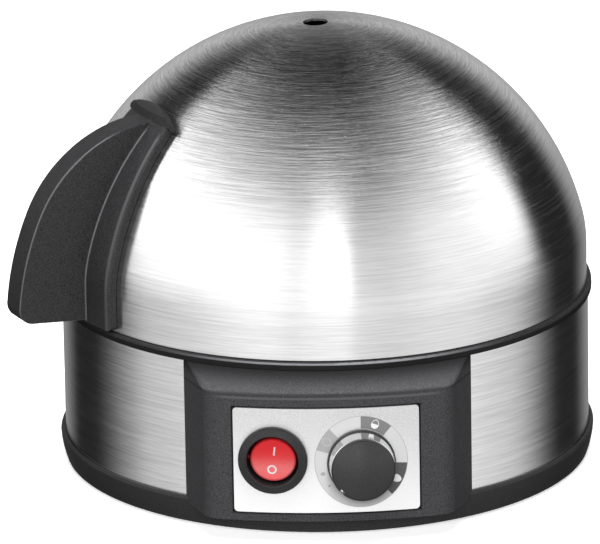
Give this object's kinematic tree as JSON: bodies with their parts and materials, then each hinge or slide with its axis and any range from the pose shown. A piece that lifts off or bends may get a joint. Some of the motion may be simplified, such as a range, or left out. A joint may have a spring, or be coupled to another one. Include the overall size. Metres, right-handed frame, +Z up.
{
  "type": "egg cooker",
  "caption": "Round electric egg cooker: steel pot with heated pan, egg tray, domed steel lid with side handle, rocker switch and hardness knob on a front panel.",
  "frame": {"origin": "on the pot's axis, at the level of the soles of the feet, just under the base ring's lower edge", "axes": "+Z up along the pot's axis; the control panel faces -Y and the lid's handle stands to the front left"},
  "size_m": [0.1952, 0.196, 0.1499],
  "materials": {
    "black_plastic": "fine texture, satin",
    "black_satin": "satin",
    "steel_sheet": "brushed round the pot's axis",
    "pan_steel": "satin",
    "plate_silver": "fine matt silver",
    "rocker_red": "translucent gloss",
    "chrome_trim": "polished",
    "foot_rubber": "matt",
    "tray_plastic": "satin",
    "zinc_steel": "zinc plated",
    "element_steel": "dull",
    "terminal_brass": "plain",
    "shaft_metal": "turned",
    "part_plastic": "moulded",
    "fuse_shell": "plain",
    "board_green": "lacquered board"
  },
  "bodies": {
    "base": {"base_pan": "black_plastic", "upper_rim": "black_plastic", "control_panel": "black_plastic", "switch_body": "black_satin", "cord_gland": "black_satin", "steel_band": "steel_sheet", "heating_pan": "pan_steel", "panel_plate": "plate_silver", "rubber_feet": "foot_rubber", "pan_seal": "foot_rubber", "case_screws": "zinc_steel", "pan_nuts": "zinc_steel", "element_clips": "zinc_steel", "thermostat_bracket": "zinc_steel", "bracket_nuts": "zinc_steel", "fuse_clip": "zinc_steel", "panel_screws": "zinc_steel", "control_washer": "zinc_steel", "control_nut": "zinc_steel", "heating_element": "element_steel", "element_terminals": "terminal_brass", "switch_terminals": "terminal_brass", "thermostat": "part_plastic", "control_body": "part_plastic", "terminal_block": "part_plastic", "buzzer": "part_plastic", "thermal_fuse": "fuse_shell", "control_board": "board_green"},
    "tray": {"egg_tray": "tray_plastic"},
    "lid": {"lid_dome": "steel_sheet", "lid_handle": "black_plastic", "handle_screws": "zinc_steel", "handle_washers": "zinc_steel"},
    "rocker": {"switch_rocker": "rocker_red"},
    "knob_group": {"knob": "black_plastic", "knob_ring": "chrome_trim", "knob_cap": "black_plastic", "control_shaft": "shaft_metal"}
  },
  "joints": [
    {"name": "tray_lift", "type": "slide", "parent": "base", "child": "tray", "axis": [0, 0, 1], "range_m": [0, 0.08]},
    {"name": "lid_lift", "type": "slide", "parent": "tray", "child": "lid", "axis": [0, 0, 1], "range_m": [0, 0.12]},
    {"name": "switch_rock", "type": "hinge", "parent": "base", "child": "rocker", "pos_m": [-0.01784, -0.09191, 0.029], "axis": [-0.9926, 0.1213, 0], "range_deg": [0, 10]},
    {"name": "knob_turn", "type": "hinge", "parent": "base", "child": "knob_group", "pos_m": [0.0105, -0.09563, 0.0281], "axis": [-0.07, 0.9975, 0], "range_deg": [0, 270]}
  ]
}
